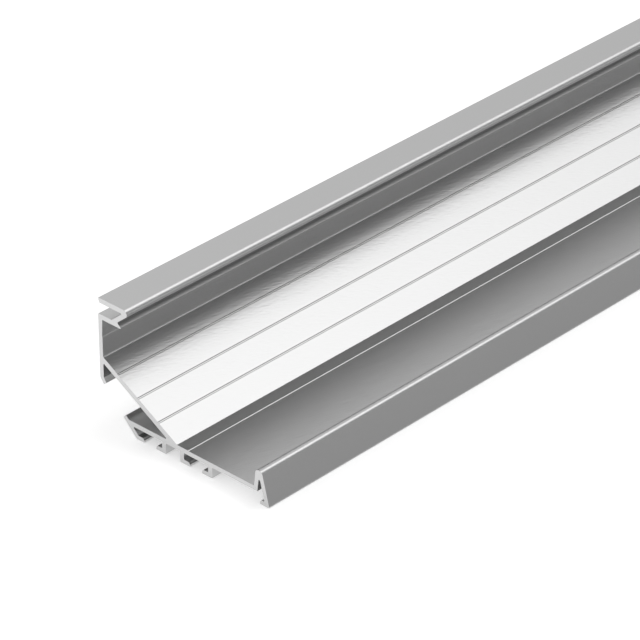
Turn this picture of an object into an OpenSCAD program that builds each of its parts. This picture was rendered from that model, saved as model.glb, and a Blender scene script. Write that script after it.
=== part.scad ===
// Aluminium profile that holds an LED strip on a slanted deck.
// One extrusion: a section drawn in x (depth) and y (height), carried along the length of the stock.
// In the section, x starts at the back wall's outer face and y starts at the feet.

/* [Stock] */
// Length that the stock is cut to
stock_length = 1000; // [200:50:3000]
// Depth of the section, from the back wall to the foot of the front wall
profile_depth = 64.6; // [60:0.1:80]
// Height of the section, from the feet to the top flange
profile_height = 40; // [36:0.5:60]

/* [Back wall] */
// Thickness of the back wall, below the small step on its inner face
wall_t = 1.4; // [1:0.05:2]
// Thickness of the back wall where it meets the plate in the top rail
wall_top_t = 1.55; // [1:0.05:2.2]
// Distance from the plate in the top rail down to the small step on the back wall
wall_step_drop = 5.7; // [3:0.1:8]
// Gap between the floor and the lower end of the back wall
wall_foot_gap = 12.4; // [9:0.1:16]
// Height of the bevelled end of the back wall
wall_foot_h = 2; // [1:0.1:3]
// How far the bevel leads the end of the back wall inwards
wall_foot_in = 1.4; // [0.6:0.1:1.8]

/* [Top rail] */
// Width of the top flange
flange_w = 11.35; // [9:0.05:16]
// Thickness of the top flange
flange_t = 1.5; // [1:0.05:2]
// Radius on the front edge of the top flange
flange_r = 1.4; // [0.3:0.1:1.5]
// Height of the front edge of the top flange, down to where the web starts
nose_h = 1.85; // [1.7:0.05:2.4]
// How far the back edge of the top flange is cut in under its top face
flange_undercut = 0.7; // [0:0.1:1.5]
// Clear height of the slot under the top flange
slot_h = 3.6; // [2.5:0.1:5]
// Thickness of the web that carries the top flange
web_t = 1.35; // [1:0.05:2]
// Slope of that web
web_angle = 40; // [35:1:60]
// Thickness of the plate under the slot
plate_t = 1.5; // [1:0.05:2]
// How far that plate reaches past the foot of the web, as a sharp lip
rail_lip_w = 1.65; // [1:0.05:2.4]

/* [Deck] */
// Slope of the deck that carries the strip
deck_angle = 30; // [20:1:35]
// Thickness of the deck
deck_t = 1.7; // [1.2:0.05:2.2]
// Distance from the back wall to where the deck's top face meets the base
deck_foot_x = 29.7; // [27:0.1:34]
// Radius in the corner between the back wall and the deck
deck_root_r = 0.6; // [0.3:0.1:1.2]
// Distance of the first alignment groove down the deck, from the back wall
groove_start = 6.6; // [4:0.1:9]
// Distance between alignment grooves
groove_pitch = 8.95; // [7:0.05:10]
// Number of alignment grooves
groove_count = 3; // [0:1:3]
// Width of an alignment groove
groove_w = 0.65; // [0.4:0.05:1]
// Width of each slanted side of an alignment groove
groove_side_w = 0.18; // [0.05:0.01:0.2]
// Depth of an alignment groove
groove_depth = 0.1; // [0.05:0.05:0.2]

/* [Base] */
// Thickness of the base plate
base_t = 1.5; // [1.2:0.05:2]
// Distance from the back wall to the small step in the base
step_x = 33.9; // [32:0.1:36]
// Height of the small steps on the base and the back wall
step_h = 0.1; // [0.05:0.05:0.3]

/* [Channels] */
// Distance from the back wall to the middle of the rear channel
rear_channel_x = 19.2; // [18.5:0.1:19.5]
// Distance from the back wall to the middle of the front channel
front_channel_x = 36.95; // [36:0.1:42]
// Clear width inside a channel
channel_w = 9.3; // [8:0.1:10.5]
// Width of the mouth of a channel
mouth_w = 4.6; // [3.5:0.1:6]
// Clear height inside a channel
channel_h = 2.15; // [1.6:0.05:3]
// Thickness of a channel's side
side_t = 1.5; // [1:0.05:1.8]
// Thickness of the lips of the channels and of the front wall's foot
lip_t = 1.4; // [1:0.05:2]
// Radius on the inner edge of a lip
lip_r = 0.9; // [0.3:0.1:1]
// Height that the sloping side of the rear channel reaches above the base
arm_rise = 1.1; // [0.5:0.1:2]

/* [Front wall] */
// Height of the front wall
front_h = 10.55; // [9:0.05:14]
// Lean of the front wall's outer face
front_lean = 14.5; // [10:0.5:18]
// Thickness of the outer leg of the front wall
outer_leg_t = 1.4; // [1:0.05:1.8]
// Lean of the front wall's inner face
inner_lean = 6.5; // [4:0.5:9]
// Thickness of the inner leg of the front wall
inner_leg_t = 1.35; // [1:0.05:1.5]
// Width of the front wall over its crown
ridge_w = 2.3; // [2:0.05:3.2]
// Radius on both edges of the crown
ridge_r = 1.2; // [0.3:0.1:1.2]
// Thickness of metal between the crown and the hollow in the front wall
crown_t = 2.95; // [2:0.05:4]
// Length of the lip at the foot of the front wall
front_lip_w = 1.7; // [1:0.1:2.4]

/* [Edges] */
// Radius that the die leaves on outer edges
edge_r = 0.2; // [0.05:0.05:0.3]
// Radius that the die leaves in inner corners
root_r = 0.3; // [0.1:0.05:0.4]

/* [Hidden] */

$fn = 32;

// Angle of the rear channel's sloping side and of the cut on the back wall's end
arm_angle = 45;

// Heights of the base plate and of the plate in the top rail
base_under = lip_t + channel_h;
base_top = base_under + base_t;
flange_under = profile_height - flange_t;
plate_top = flange_under - slot_h;
plate_under = plate_top - plate_t;

// Length of a channel's lip, inside the channel
lip_w = (channel_w - mouth_w) / 2;

// Breadths of the front wall's legs along x, and the top of the hollow between them
outer_leg_w = outer_leg_t / cos(front_lean);
inner_leg_w = inner_leg_t / cos(inner_lean);
hollow_top = front_h - crown_t;

// How far cutting shapes reach past what they cut
past = 5;

// Points along a round stretch from one angle to another
function arc(centre, r, from, to) =
    let (steps = max(2, ceil(abs(to - from) / 360 * $fn)))
    [for (i = [0 : steps])
        centre + r * [cos(from + (to - from) * i / steps), sin(from + (to - from) * i / steps)]];

// Place of the front wall's outer face and of its inner face at a height
function face_x(y) = profile_depth - y * tan(front_lean);
function inner_x(y) = face_x(front_h) - ridge_w - (front_h - y) * tan(inner_lean);

// Back wall: its lower end is bent inwards, and its inner face has a small step that faces up
module back_wall() {
    bend_y = wall_foot_gap + wall_foot_h;
    inner_bend_y = bend_y + wall_t * tan(atan(wall_foot_in / wall_foot_h) / 2);
    step_y = plate_under - wall_step_drop;
    polygon([
        [0, plate_top],
        [0, bend_y],
        [wall_foot_in, wall_foot_gap],
        [wall_foot_in + wall_t * cos(arm_angle), wall_foot_gap + wall_t * sin(arm_angle)],
        [wall_t, inner_bend_y],
        [wall_t, step_y],
        [wall_t - step_h, step_y],
        [wall_top_t, plate_under],
        [wall_top_t, plate_top]
    ]);
}

// Top flange, the sloping web that carries it, and the plate under the slot with its lip
module top_rail() {
    web_w = web_t / sin(web_angle);
    nose_under = profile_height - nose_h;
    notch_x = flange_w - (nose_under - plate_top) / tan(web_angle);
    web_top_x = notch_x + (flange_under - plate_top) / tan(web_angle) - web_w;
    polygon(concat(
        [[flange_undercut, flange_under], [0, profile_height]],
        arc([flange_w - flange_r, profile_height - flange_r], flange_r, 90, 0),
        [[flange_w, flange_under]]
    ));
    polygon([
        [flange_w, flange_under],
        [flange_w, nose_under],
        [notch_x, plate_top],
        [notch_x - web_w, plate_top],
        [web_top_x, flange_under]
    ]);
    polygon([
        [0, plate_under],
        [0, plate_top],
        [notch_x, plate_top],
        [notch_x + rail_lip_w, plate_under]
    ]);
}

// Deck, from the back wall down to the base
module deck() {
    intersection() {
        translate([deck_foot_x, base_top])
            rotate(-deck_angle)
                translate([-profile_depth, -deck_t])
                    square([profile_depth, deck_t]);
        translate([0, base_under])
            square([profile_depth, plate_under - base_under]);
    }
}

// Rounded corner between the back wall and the deck
module deck_root() {
    corner_y = base_top + (deck_foot_x - wall_t) * tan(deck_angle);
    reach = deck_root_r * tan(45 - deck_angle / 2);
    polygon(concat(
        [[wall_t - step_h, corner_y + reach], [wall_t - step_h, corner_y - reach]],
        arc([wall_t + deck_root_r, corner_y + reach], deck_root_r, 270 - deck_angle, 180)
    ));
}

// Alignment grooves in the deck's top face, with a flat floor between two slanted sides
module deck_grooves() {
    deck_run = (deck_foot_x - wall_t) / cos(deck_angle);
    for (i = [0 : 1 : groove_count - 1])
        translate([deck_foot_x, base_top])
            rotate(-deck_angle)
                translate([groove_start + i * groove_pitch - deck_run, 0])
                    polygon([
                        [-groove_w / 2, 0],
                        [groove_side_w - groove_w / 2, -groove_depth],
                        [groove_w / 2 - groove_side_w, -groove_depth],
                        [groove_w / 2, 0],
                        [groove_w / 2, groove_depth],
                        [-groove_w / 2, groove_depth]
                    ]);
}

// Base plate, with a low step near the deck
module base() {
    arm_x = rear_channel_x - channel_w / 2 + lip_t - base_top;
    translate([arm_x, base_under])
        square([inner_x(base_under) + inner_leg_w / 2 - arm_x, base_t - step_h]);
    translate([arm_x, base_under])
        square([step_x - arm_x, base_t]);
}

// One lip of a channel: it starts at x = 0 and reaches to +x, with a rounded inner edge
module lip(reach) {
    polygon(concat(
        [[0, lip_t], [0, 0], [reach, 0]],
        arc([reach - lip_r, lip_t - lip_r], lip_r, 0, 90)
    ));
}

// Upright side of a channel with its lip, for a channel that opens towards +x
module channel_side() {
    translate([-side_t, 0])
        square([side_t, base_under + base_t / 2]);
    lip(lip_w);
}

// Sloping side of the rear channel, which ends above the base, with its lip
module channel_arm() {
    foot_x = lip_t / tan(arm_angle);
    top_y = base_top + arm_rise;
    arm_w = side_t / sin(arm_angle);
    polygon([
        [foot_x, 0],
        [foot_x - top_y, top_y],
        [foot_x - top_y - side_t * cos(arm_angle), top_y - side_t * sin(arm_angle)],
        [foot_x - arm_w, 0]
    ]);
    lip(lip_w);
}

// The two channels under the base, open downwards
module channels() {
    translate([rear_channel_x - channel_w / 2, 0])
        channel_arm();
    for (x = [rear_channel_x, front_channel_x])
        translate([x + channel_w / 2, 0])
            mirror([1, 0])
                channel_side();
    translate([front_channel_x - channel_w / 2, 0])
        channel_side();
}

// Hollow front wall: an inner leg from the base, a rounded ridge and a leaning outer leg with a lip
module front_wall() {
    difference() {
        intersection() {
            offset(r = ridge_r)
                offset(delta = -ridge_r)
                    polygon([
                        [inner_x(-past), -past],
                        [inner_x(front_h), front_h],
                        [face_x(front_h), front_h],
                        [face_x(-past), -past]
                    ]);
            square([profile_depth, front_h]);
        }
        // Hollow between the legs, open below
        polygon([
            [inner_x(hollow_top) + inner_leg_w, hollow_top],
            [face_x(hollow_top) - outer_leg_w, hollow_top],
            [face_x(-past) - outer_leg_w, -past],
            [inner_x(-past) + inner_leg_w, -past]
        ]);
        // Room under the inner leg, which ends level with the base
        translate([inner_x(-past), -past])
            square([inner_x(base_under) + inner_leg_w - inner_x(-past), base_under + past]);
    }
    // Lip at the foot of the outer leg
    translate([face_x(lip_t) - outer_leg_w, 0])
        mirror([1, 0])
            lip(front_lip_w);
    translate([face_x(lip_t) - outer_leg_w, 0])
        square([outer_leg_w, lip_t / 2]);
}

// The whole section, with the radii that the die leaves on every corner
module section() {
    difference() {
        offset(r = edge_r)
            offset(r = -(edge_r + root_r))
                offset(delta = root_r)
                    union() {
                        back_wall();
                        top_rail();
                        deck();
                        deck_root();
                        base();
                        channels();
                        front_wall();
                    }
        deck_grooves();
    }
}

// The profile: the section carried along +Y, centred over the origin, with its feet at z = 0
module profile() {
    color("silver")
        translate([-profile_depth / 2, stock_length / 2, 0])
            rotate([90, 0, 0])
                linear_extrude(height = stock_length)
                    section();
}

profile();
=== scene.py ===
# %% [markdown]
# LED strip profile, satin anodised aluminium.
#
# The real object is one piece of stock. Hot aluminium is pressed through a steel die, so the same
# section runs from end to end: back wall, slotted top rail, slanted deck, base, clip channels and
# hollow front wall. Nothing is welded or screwed on. The CAD frame already holds that section, down to
# its fine grooves and rounded edges, so this lesson adds no mesh to the object. It works on what CAD
# leaves out: the finish of the metal, the saw's marks on the cut ends, the light and the camera.

# %% Load the CAD frame
import math

import bpy
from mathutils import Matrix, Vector


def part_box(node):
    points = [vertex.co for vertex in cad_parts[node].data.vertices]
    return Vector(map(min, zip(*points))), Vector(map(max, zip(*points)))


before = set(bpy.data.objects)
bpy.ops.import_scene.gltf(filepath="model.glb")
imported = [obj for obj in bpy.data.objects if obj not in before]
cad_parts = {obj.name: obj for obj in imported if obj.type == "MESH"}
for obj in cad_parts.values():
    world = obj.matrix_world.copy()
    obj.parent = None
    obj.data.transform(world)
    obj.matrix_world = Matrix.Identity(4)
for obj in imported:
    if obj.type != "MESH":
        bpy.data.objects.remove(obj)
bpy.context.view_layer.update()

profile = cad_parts["profile"]
low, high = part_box("profile")
size = high - low
print("section %.1f x %.1f mm, stock %.0f mm long" % (size.x * 1000, size.z * 1000, size.y * 1000))

# %% [markdown]
# Three helpers serve every material. Colours are written as sRGB hex values, the way a paint chart or
# an image editor gives them, while shaders calculate with linear light, so one function converts.
# The second adds a node, sets its values and joins its inputs, which keeps each finish short. The
# third makes an empty material for a finish to fill.

# %% Helpers for colours and nodes
MM = 0.001


def linear(hex_colour):
    """Linear RGBA of an sRGB hex colour: a dark channel is divided by 12.92, and a lighter one has
    0.055 added, is divided by 1.055 and raised to the power 2.4."""
    channels = [int(hex_colour[i:i + 2], 16) / 255 for i in (1, 3, 5)]
    return [c / 12.92 if c <= 0.04045 else ((c + 0.055) / 1.055) ** 2.4 for c in channels] + [1.0]


def add(tree, kind, values=None, links=None, **settings):
    """A new node of a kind: settings are its own properties, values its sockets, links what joins them."""
    node = tree.nodes.new("ShaderNode" + kind)
    for name, value in settings.items():
        setattr(node, name, value)
    for socket, value in (values or {}).items():
        node.inputs[socket].default_value = value
    for socket, source in (links or {}).items():
        tree.links.new(source, node.inputs[socket])
    return node


def new_material(name):
    """An empty material: its tree, and the output node that the finish joins."""
    material = bpy.data.materials.new(name)
    material.use_nodes = True
    material.node_tree.nodes.clear()
    return material, material.node_tree, add(material.node_tree, "OutputMaterial")


print("mid grey #808080 is %.3f in linear light" % linear("#808080")[0])

# %% [markdown]
# Satin anodised aluminium. The extrusion is etched in caustic soda, which turns the bright metal
# matt, and then anodised, which grows a clear oxide a hundredth of a millimetre thick. To the eye it
# is a light neutral grey metal with broad, soft reflections. It is metallic 1 with the default IOR,
# and a roughness near 0.3 is typical.
#
# Faint lines run along the stock, where the die's steel has scored the metal. Real ones are 0.05 to
# 0.3 mm apart and a micron deep. A pixel of the render covers 0.28 mm, so the lines here are drawn
# about 0.8 mm apart, which is as fine as can show. They are noise stretched along Y, read from the
# Object coordinates, so they stay on the metal from any side.

# %% Die lines along the stock
LINE_PITCH = 0.8 * MM
LINE_LENGTH = 250 * MM


def die_lines(tree, place):
    """Height from 0 to 1 of the lines that the die leaves: noise with one period each LINE_PITCH across
    the section and each LINE_LENGTH along it."""
    across, along = 1 / LINE_PITCH, 1 / LINE_LENGTH
    stretched = add(tree, "Mapping", {"Scale": (across, along, across)}, {"Vector": place})
    noise = add(tree, "TexNoise", {"Scale": 1.0, "Detail": 3.0, "Roughness": 0.6},
                {"Vector": stretched.outputs["Vector"]})
    return noise.outputs["Fac"]


print("die lines %.1f mm apart, drifting over %.0f mm" % (LINE_PITCH / MM, LINE_LENGTH / MM))

# %% [markdown]
# Before the etch a turning brush takes off the burrs. Its wires leave short marks that run a little
# askew to the stock, as the metal moves on under the brush. They only show where a face mirrors an
# edge between light and dark, as the upper part of the deck does. Real ones lie a few hundredths of a
# millimetre apart, and here they are drawn 0.45 mm apart so that they can show.

# %% Brush marks
BRUSH_PITCH = 0.45 * MM
BRUSH_LENGTH = 6 * MM
BRUSH_SKEW = math.radians(21)


def brush_marks(tree, place):
    """Height from 0 to 1 of the brush's short marks: noise stretched along a line askew to Y."""
    turned = add(tree, "Mapping", {"Rotation": (0, 0, BRUSH_SKEW)}, {"Vector": place})
    stretched = add(tree, "Mapping", {"Scale": (1 / BRUSH_PITCH, 1 / BRUSH_LENGTH, 1 / BRUSH_PITCH)},
                    {"Vector": turned.outputs["Vector"]})
    noise = add(tree, "TexNoise", {"Scale": 1.0, "Detail": 1.0}, {"Vector": stretched.outputs["Vector"]})
    return noise.outputs["Fac"]


print("brush marks %.2f mm apart, %.0f mm long" % (BRUSH_PITCH / MM, BRUSH_LENGTH / MM))

# %% [markdown]
# The etch leaves pits of a few hundredths of a millimetre. They can't be seen one by one, only as a
# faint cloudiness where the bath bit a little more or less. It is drawn as fine noise with a slow
# drift over a hand's width, and it moves the roughness and the colour a little.

# %% Etched surface
ETCH_GRAIN = 0.6 * MM
ETCH_DRIFT = 90 * MM


def etch(tree, place):
    """Unevenness from 0 to 1 of the etch: two parts of fine grain to one part of slow drift."""
    grain = add(tree, "TexNoise", {"Scale": 1 / ETCH_GRAIN, "Detail": 2.0}, {"Vector": place})
    drift = add(tree, "TexNoise", {"Scale": 1 / ETCH_DRIFT, "Detail": 1.0}, {"Vector": place})
    mixed = add(tree, "Mix", {"Factor": 1 / 3}, {"A": grain.outputs["Fac"], "B": drift.outputs["Fac"]})
    return mixed.outputs["Result"]


print("etch grain %.1f mm, drift %.0f mm" % (ETCH_GRAIN / MM, ETCH_DRIFT / MM))

# %% [markdown]
# Shade is painted into two narrow places: the notch under the top flange, and the slanted sides of the
# alignment grooves. There the metal's colour is mixed toward a dark grey. This is painted shade for the
# shade that falls in them, not a film on the metal. The painted shade in the notch fades with the distance
# from the notch's root. The grooves' sides lie a few hundredths of a millimetre below the plane of the
# deck, where hardly anything else does, so one comparison finds them. The notch's root and the deck's foot
# are measured from the back wall, the top flange and the feet, which are the sides of the frame's box.

# %% Painted shade in the notch and the grooves
# These place the painted shade: where it fades out from the notch's root, where it is full, and how strong
# it gets
NOTCH_ROOT = Vector((low.x + 7.48 * MM, 0, high.z - 5.1 * MM))
NOTCH_SHADE_OUTER, NOTCH_SHADE_INNER = 3.0 * MM, 0.5 * MM
NOTCH_SHADE_STRENGTH = 0.7
DECK_FOOT = Vector((low.x + 29.7 * MM, 0, low.z + 5.05 * MM))
DECK_TILT = math.radians(30)
GROOVE_SIDE = 0.05 * MM
GROOVE_SIDE_HALF = 0.04 * MM


# Painted shade: a mask for darkening the colour in the notch and on the grooves' sides, where shade falls
def painted_shade(tree, place):
    """1 where the painted shade is full and 0 where the metal keeps its own colour."""
    section = add(tree, "VectorMath", {1: (1, 0, 1)}, {0: place}, operation="MULTIPLY")
    away = add(tree, "VectorMath", {1: NOTCH_ROOT}, {0: section.outputs[0]}, operation="DISTANCE")
    notch = add(tree, "MapRange", {"From Min": NOTCH_SHADE_OUTER, "From Max": NOTCH_SHADE_INNER, "To Max": NOTCH_SHADE_STRENGTH},
                {"Value": away.outputs["Value"]})
    up = Vector((math.sin(DECK_TILT), 0, math.cos(DECK_TILT)))
    height = add(tree, "VectorMath", {1: up}, {0: place}, operation="DOT_PRODUCT")
    groove = add(tree, "Math", {1: up.dot(DECK_FOOT) - GROOVE_SIDE, 2: GROOVE_SIDE_HALF},
                 {0: height.outputs["Value"]}, operation="COMPARE")
    both = add(tree, "Math", links={0: notch.outputs["Result"], 1: groove.outputs[0]}, operation="MAXIMUM")
    return both.outputs[0]


print("film fades out %.1f mm from the notch's root" % (NOTCH_SHADE_OUTER / MM))

# %% [markdown]
# The stock is cut to length with a fine carbide saw. Its teeth leave shallow arcs, all with the
# radius of the blade, about 0.15 mm apart. On a clean cut they are barely seen. Here they are drawn as
# rings about one centre, a blade's radius below the feet, which is close enough over a section this
# small. They are 0.6 mm apart, because finer ones would be lost between pixels. A mask keeps them on
# the two cut faces, the only places within a hundredth of a millimetre of the stock's ends.

# %% Saw marks on the cut ends
SAW_RADIUS = 150 * MM
SAW_PITCH = 0.6 * MM
CUT_SKIN = 0.01 * MM
# One ring of the wave texture takes 2 pi / 20 of its own units
RING = 2 * math.pi / 20


def cut_mask(tree, place):
    """1 on the cut ends and 0 elsewhere: the distance along Y from the middle is compared with half
    the stock's length, less a thin skin."""
    parts = add(tree, "SeparateXYZ", links={"Vector": place})
    away = add(tree, "Math", links={0: parts.outputs["Y"]}, operation="ABSOLUTE")
    cut = add(tree, "Math", {1: size.y / 2 - CUT_SKIN}, {0: away.outputs[0]}, operation="GREATER_THAN")
    return cut.outputs[0]


def saw_marks(tree, place):
    """Height from 0 to 1 of the saw's arcs: a sine of the distance from the blade's centre, broken up
    by noise."""
    centred = add(tree, "Mapping", {"Location": (0, 0, SAW_RADIUS)}, {"Vector": place})
    rings = add(tree, "TexWave", {"Scale": RING / SAW_PITCH, "Distortion": 1.5, "Detail": 2.0},
                {"Vector": centred.outputs["Vector"]}, wave_type="RINGS", rings_direction="Y")
    return rings.outputs["Fac"]


print("saw marks %.1f mm apart, %.0f mm radius" % (SAW_PITCH / MM, SAW_RADIUS / MM))

# %% [markdown]
# Now the finish is put together. The lines of the die are a micron high. The brush marks are drawn as
# much too deep as they are too far apart, so that their slopes, which bend the reflections, stay like
# the real ones. The colour moves by a per cent or two with the etch, and it is darkened where shade is
# painted, in the notch and on the grooves' sides. The cut ends have the same grey, with the saw's arcs in
# place of the lines and marks.

# %% Anodised aluminium
METAL = "#D0D0D0"
METAL_CLOUD = "#CECECE"
# Colour of the painted shade in the notch and on the grooves' sides
PAINTED_SHADE_COLOUR = "#606060"
LINE_HEIGHT = 0.0012 * MM
BRUSH_HEIGHT = 0.03 * MM
SAW_HEIGHT = 0.0016 * MM
ROUGHNESS = (0.28, 0.30)


def anodised_aluminium():
    """Satin anodised aluminium, extruded and sawn: metal whose roughness follows the etch, and whose
    colour follows the etch, with painted shade in the notch and on the grooves' sides. Its bump is the
    die's lines with the brush marks on the sides, and the saw's arcs on the ends."""
    material, tree, output = new_material("anodised_aluminium")
    place = add(tree, "TexCoord").outputs["Object"]
    uneven = etch(tree, place)
    cut = cut_mask(tree, place)
    clean = add(tree, "Mix", {"A": linear(METAL), "B": linear(METAL_CLOUD)}, {"Factor": uneven},
                data_type="RGBA")
    side = add(tree, "Math", {0: 1.0}, {1: cut}, operation="SUBTRACT")
    # Painted shade: how much of the dark colour goes in, on the side faces only, never on the cut ends
    shade_amount = add(tree, "Math", links={0: painted_shade(tree, place), 1: side.outputs[0]}, operation="MULTIPLY")
    colour = add(tree, "Mix", {"B": linear(PAINTED_SHADE_COLOUR)}, {"A": clean.outputs[2], "Factor": shade_amount.outputs[0]},
                 data_type="RGBA")
    rough = add(tree, "MapRange", {"To Min": ROUGHNESS[0], "To Max": ROUGHNESS[1]}, {"Value": uneven})
    lines = add(tree, "Math", {1: LINE_HEIGHT}, {0: die_lines(tree, place)}, operation="MULTIPLY")
    brushed = add(tree, "Math", {1: BRUSH_HEIGHT}, {0: brush_marks(tree, place), 2: lines.outputs[0]},
                  operation="MULTIPLY_ADD")
    arcs = add(tree, "Math", {1: SAW_HEIGHT}, {0: saw_marks(tree, place)}, operation="MULTIPLY")
    height = add(tree, "Mix", links={"Factor": cut, "A": brushed.outputs[0], "B": arcs.outputs[0]})
    # The heights are in metres already, so the bump's own distance is 1
    bump = add(tree, "Bump", {"Strength": 1.0, "Distance": 1.0}, {"Height": height.outputs["Result"]})
    metal = add(tree, "BsdfPrincipled", {"Metallic": 1.0},
                {"Base Color": colour.outputs[2], "Roughness": rough.outputs["Result"],
                 "Normal": bump.outputs["Normal"]})
    tree.links.new(metal.outputs["BSDF"], output.inputs["Surface"])
    return material


profile.data.materials.clear()
profile.data.materials.append(anodised_aluminium())
print("finish on the profile:", profile.data.materials[0].name)

# %% [markdown]
# The camera looks down on the near cut end from the front right, from about a metre away, through a
# long lens, so the long edges run almost parallel. It is given as a point in the trough, two angles
# and a distance, as a photographer would set up a tripod. Blender counts the lens and the sensor in
# millimetres.

# %% Camera
AIM = Vector((0, low.y + 54.5 * MM, 22.05 * MM))
AZIMUTH, ELEVATION = math.radians(43.028), math.radians(30.894)
DISTANCE = 1018.2 * MM
LENS, SENSOR = 204.64, 36.0

look = Vector((-math.sin(AZIMUTH) * math.cos(ELEVATION), math.cos(AZIMUTH) * math.cos(ELEVATION),
               -math.sin(ELEVATION)))
camera = bpy.data.objects.new("camera", bpy.data.cameras.new("camera"))
camera.data.lens = LENS
camera.data.sensor_width = SENSOR
camera.location = AIM - look * DISTANCE
camera.rotation_euler = look.to_track_quat("-Z", "Y").to_euler()
bpy.context.scene.collection.objects.link(camera)
bpy.context.scene.camera = camera
print("camera at", [round(c, 4) for c in camera.location])

# %% [markdown]
# The stock lies on a white board, so wide that no edge of it shows. The board is lit like everything
# else, so it keeps the object's shadow, but the light of the room alone would leave it a pale grey. A
# little glow makes it white. Light Path switches that glow on only for rays that come from the camera,
# or by way of metal or glass, so the board is white in the picture and in the metal.

# %% White floor
FLOOR_SPAN = 80.0
FLOOR = "#F8F8F8"
FLOOR_GLOW = 0.43


def put(name, points, faces, material):
    """A stage piece of flat boards, from its corner points and the faces that join them."""
    mesh = bpy.data.meshes.new(name)
    mesh.from_pydata(points, [], faces)
    mesh.materials.append(material)
    board = bpy.data.objects.new(name, mesh)
    bpy.context.scene.collection.objects.link(board)
    return board


def white_board():
    """Matt white board that looks lighter than it is lit to the camera and to mirrored or refracted rays,
    so that it is white in the picture and in the metal, while the shadow on it still shows."""
    material, tree, output = new_material("white_board")
    board = add(tree, "BsdfDiffuse", {"Color": linear(FLOOR)})
    path = add(tree, "LightPath").outputs
    bounced = add(tree, "Math", links={0: path["Is Glossy Ray"], 1: path["Is Transmission Ray"]},
                  operation="MAXIMUM")
    seen = add(tree, "Math", links={0: path["Is Camera Ray"], 1: bounced.outputs[0]}, operation="MAXIMUM")
    strength = add(tree, "Math", {1: FLOOR_GLOW}, {0: seen.outputs[0]}, operation="MULTIPLY")
    glow = add(tree, "Emission", links={"Strength": strength.outputs[0]})
    both = add(tree, "AddShader", links={0: board.outputs[0], 1: glow.outputs[0]})
    tree.links.new(both.outputs[0], output.inputs["Surface"])
    return material


half = FLOOR_SPAN / 2
corners = [(-half, -half, 0), (half, -half, 0), (half, half, 0), (-half, half, 0)]
put("floor", corners, [(0, 1, 2, 3)], white_board())
print("floor %.0f m wide" % FLOOR_SPAN)

# %% [markdown]
# Metal has no look of its own: it shows what is around it, so the room gives each face its tone. The
# side to the left of the camera is light, the side to its right is dim, and the two fade into each
# other. One soft lamp stands high beyond the object. The slanted deck mirrors the lamp and turns
# nearly white. The flat top mirrors the fade and turns light grey. The back wall mirrors the lower
# deck and the base, which from there mirror the dim side, so it turns dark.
#
# The light is drawn by direction, with no lamp object. The fade follows how far a direction points
# toward the dim side, and the lamp how near it lies to the lamp's centre.

# %% Room and lamp
LIGHT_SIDE, DIM_SIDE = 0.83, 0.34
DIM_AZIMUTH, FADE = 26, 0.63
LAMP_AZIMUTH, LAMP_ELEVATION = 68, 53
LAMP_STRENGTH, LAMP_FOCUS = 1.52, 13


def toward(azimuth, elevation):
    """Unit vector that points to an azimuth, counted from +X to +Y, and an elevation, in degrees."""
    around, up = math.radians(azimuth), math.radians(elevation)
    return Vector((math.cos(up) * math.cos(around), math.cos(up) * math.sin(around), math.sin(up)))


def room_light(world):
    """Light from every direction: the fade from the light side to the dim side, and the lamp, which is
    the cosine of the angle from its centre raised to a power that gives its width."""
    world.use_nodes = True
    tree = world.node_tree
    tree.nodes.clear()
    place = add(tree, "TexCoord").outputs["Generated"]
    dimward = add(tree, "VectorMath", {1: toward(DIM_AZIMUTH, 0)}, {0: place}, operation="DOT_PRODUCT")
    fade = {"From Min": -FADE, "From Max": FADE, "To Min": LIGHT_SIDE, "To Max": DIM_SIDE}
    room = add(tree, "MapRange", fade, {"Value": dimward.outputs["Value"]}, interpolation_type="SMOOTHSTEP")
    near_lamp = add(tree, "VectorMath", {1: toward(LAMP_AZIMUTH, LAMP_ELEVATION)}, {0: place},
                    operation="DOT_PRODUCT")
    front = add(tree, "Math", {1: 0.0}, {0: near_lamp.outputs["Value"]}, operation="MAXIMUM")
    spot = add(tree, "Math", {1: LAMP_FOCUS}, {0: front.outputs[0]}, operation="POWER")
    total = add(tree, "Math", {1: LAMP_STRENGTH}, {0: spot.outputs[0], 2: room.outputs["Result"]},
                operation="MULTIPLY_ADD")
    light = add(tree, "Background", {"Color": linear("#FFFFFF")}, {"Strength": total.outputs[0]})
    output = add(tree, "OutputWorld")
    tree.links.new(light.outputs[0], output.inputs["Surface"])


bpy.context.scene.world = bpy.data.worlds.new("room_light")
room_light(bpy.context.scene.world)
bpy.context.scene.view_settings.view_transform = "Standard"
half_angle = math.degrees(math.acos(0.5 ** (1 / LAMP_FOCUS)))
print("lamp falls to half its strength %.0f degrees from its centre" % half_angle)

# %% [markdown]
# The outer face of the front wall would mirror the white floor right beside it, which would leave no
# edge between the metal and the floor. Photographers lay a grey card there, a flag, just outside what
# the lens sees. This one is hidden from the camera and casts no shadow, so it shows only in the metal.

# %% Grey flag beside the front wall
FLAG = "#ACACAC"
FLAG_WIDTH = 300 * MM
FLAG_HEIGHT = 0.3 * MM
FLAG_GAP = 0.2 * MM
FLAG_BEFORE, FLAG_BEYOND = 150 * MM, 500 * MM


def grey_card():
    """Plain grey card that glows as light as it should look, so no shadow of the object changes it."""
    material, tree, output = new_material("grey_card")
    card = add(tree, "Emission", {"Color": linear(FLAG), "Strength": 1.0})
    tree.links.new(card.outputs[0], output.inputs["Surface"])
    return material


inner, outer = high.x + FLAG_GAP, high.x + FLAG_GAP + FLAG_WIDTH
near, far = low.y - FLAG_BEFORE, high.y + FLAG_BEYOND
outline = [(inner, near), (outer, near), (outer, far), (inner, far)]
points = [(x, y, FLAG_HEIGHT) for x, y in outline]
flag = put("flag", points, [(0, 1, 2, 3)], grey_card())
flag.visible_camera = flag.visible_diffuse = flag.visible_shadow = flag.visible_transmission = False
print("flag %.0f mm wide, %.1f mm from the foot" % (FLAG_WIDTH / MM, FLAG_GAP / MM))
